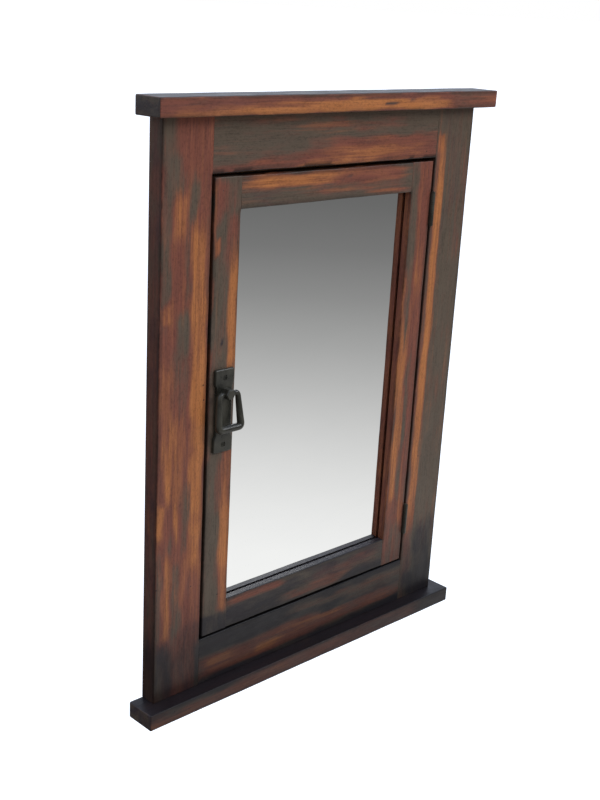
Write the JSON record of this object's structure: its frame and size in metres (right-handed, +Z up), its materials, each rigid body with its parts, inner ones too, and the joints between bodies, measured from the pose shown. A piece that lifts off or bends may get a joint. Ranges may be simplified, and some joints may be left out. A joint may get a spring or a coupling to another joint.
{
  "type": "medicine cabinet with mirror",
  "caption": "Recessed wooden medicine cabinet: face frame with crown and ledge boards, a hinged mirror door with an iron bail pull, and a shallow shelved box behind.",
  "frame": {"origin": "centre of the door opening, on the wall plane that the face frame's back lies against", "axes": "+X to the right seen from the front, +Y into the wall, +Z up; the mirror faces -Y"},
  "size_m": [0.492, 0.104, 0.6564],
  "materials": {
    "stained_wood": "hand-distressed dark stain rubbed through to red-brown and amber, satin varnish",
    "plain_wood": "raw hardwood",
    "box_wood": "clear satin varnish",
    "backing_board": "brown hardboard, matt",
    "mirror_glass": "silvered glass",
    "black_iron": "satin black",
    "steel": "zinc plated",
    "magnet": "dark sintered magnet",
    "brown_plastic": "moulded, matt",
    "felt": "felt"
  },
  "bodies": {
    "cabinet": {"crown_board": "stained_wood", "ledge_board": "stained_wood", "face_stile_left": "stained_wood", "face_stile_right": "stained_wood", "face_rail_top": "stained_wood", "face_rail_bottom": "stained_wood", "frame_dowels": "plain_wood", "trim_dowels": "plain_wood", "box_side_left": "box_wood", "box_side_right": "box_wood", "box_top": "box_wood", "box_bottom": "box_wood", "back_panel": "box_wood", "box_dowels": "plain_wood", "box_screws": "steel", "back_nails": "steel", "shelf_upper": "box_wood", "shelf_lower": "box_wood", "shelf_pins": "steel", "catch_housing": "brown_plastic", "catch_magnet": "magnet", "catch_pole_plates": "steel", "catch_screws": "steel", "hinge_upper_frame_leaf": "black_iron", "hinge_lower_frame_leaf": "black_iron", "hinge_upper_pin": "black_iron", "hinge_lower_pin": "black_iron", "hinge_frame_screws": "black_iron"},
    "door": {"door_stile_left": "stained_wood", "door_stile_right": "stained_wood", "door_rail_top": "stained_wood", "door_rail_bottom": "stained_wood", "door_dowels": "plain_wood", "mirror_glass": "mirror_glass", "mirror_backing": "backing_board", "mirror_stop_left": "plain_wood", "mirror_stop_right": "plain_wood", "mirror_stop_top": "plain_wood", "mirror_stop_bottom": "plain_wood", "mirror_stop_brads": "steel", "hinge_upper_door_leaf": "black_iron", "hinge_lower_door_leaf": "black_iron", "hinge_door_screws": "black_iron", "strike_plate": "steel", "strike_screw": "steel", "door_bumpers": "felt", "pull_backplate": "black_iron", "pull_screws": "black_iron"},
    "bail": {"bail": "black_iron"}
  },
  "joints": [
    {"name": "door_hinge", "type": "hinge", "parent": "cabinet", "child": "door", "pos_m": [0.1653, -0.0217, 0], "axis": [0, 0, 1], "range_deg": [0, 160]},
    {"name": "bail_pivot", "type": "hinge", "parent": "door", "child": "bail", "pos_m": [-0.14495, -0.0294, 0.0295], "axis": [-1, 0, 0], "range_deg": [0, 150]}
  ]
}
